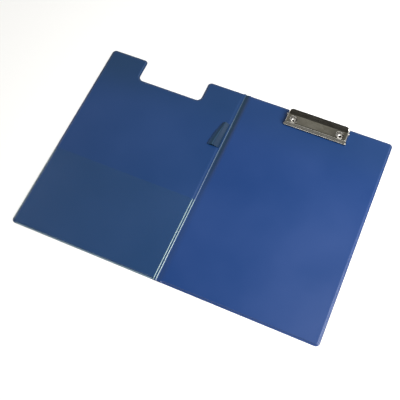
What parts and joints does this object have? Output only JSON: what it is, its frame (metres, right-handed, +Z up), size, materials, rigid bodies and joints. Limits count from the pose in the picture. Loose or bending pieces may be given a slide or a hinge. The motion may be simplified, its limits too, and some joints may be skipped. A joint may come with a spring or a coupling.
{
  "type": "foldover clipboard",
  "caption": "Foldover clipboard lying open: two film-covered panels on a film spine, with a sprung metal clip, clip notch, clear pocket and pen loop.",
  "frame": {"origin": "on the table under the middle of the spine, with the folder lying open", "axes": "+X towards the back cover and its clip, +Y along the spine towards the clip's edge, +Z up out of the inside face"},
  "size_m": [0.48, 0.34, 0.0132],
  "materials": {
    "greyboard": "matte",
    "outer_film": "satin",
    "inner_film": "satin",
    "clear_film": "gloss",
    "loop_film": "satin",
    "nickel_plate": "polished",
    "zinc_plate": "satin",
    "spring_wire": "satin",
    "rivet_plate": "polished"
  },
  "bodies": {
    "back_cover": {"back_cover_board": "greyboard", "back_cover_outer_skin": "outer_film", "back_cover_inner_liner": "inner_film", "clip_base_plate": "zinc_plate", "clip_pivot_rod": "zinc_plate", "jaw_spring_left": "spring_wire", "jaw_spring_right": "spring_wire", "clip_rivets": "rivet_plate"},
    "spine": {"spine_outer_skin": "outer_film", "spine_inner_liner": "inner_film"},
    "front_cover": {"front_cover_board": "greyboard", "front_cover_outer_skin": "outer_film", "front_cover_inner_liner": "inner_film", "clear_pocket": "clear_film", "pen_loop": "loop_film"},
    "clip_jaw": {"clip_jaw_plate": "nickel_plate"}
  },
  "joints": [
    {"name": "spine_fold", "type": "hinge", "parent": "back_cover", "child": "spine", "pos_m": [0.005, 0, 0.00015], "axis": [0, 1, 0], "range_deg": [-90, 90]},
    {"name": "cover_fold", "type": "hinge", "parent": "spine", "child": "front_cover", "pos_m": [-0.005, 0, 0.00015], "axis": [0, 1, 0], "range_deg": [-90, 90]},
    {"name": "jaw_pivot", "type": "hinge", "parent": "back_cover", "child": "clip_jaw", "pos_m": [0.1223, 0.158, 0.0067], "axis": [-1, 0, 0], "range_deg": [0, 30], "stiffness_Nm_per_rad": 0.3, "springref_deg": -34.38, "deforming": ["jaw_spring_left", "jaw_spring_right"]}
  ],
  "couplings": [
    {"joint": "cover_fold", "follows": "spine_fold", "ratio": 1}
  ]
}
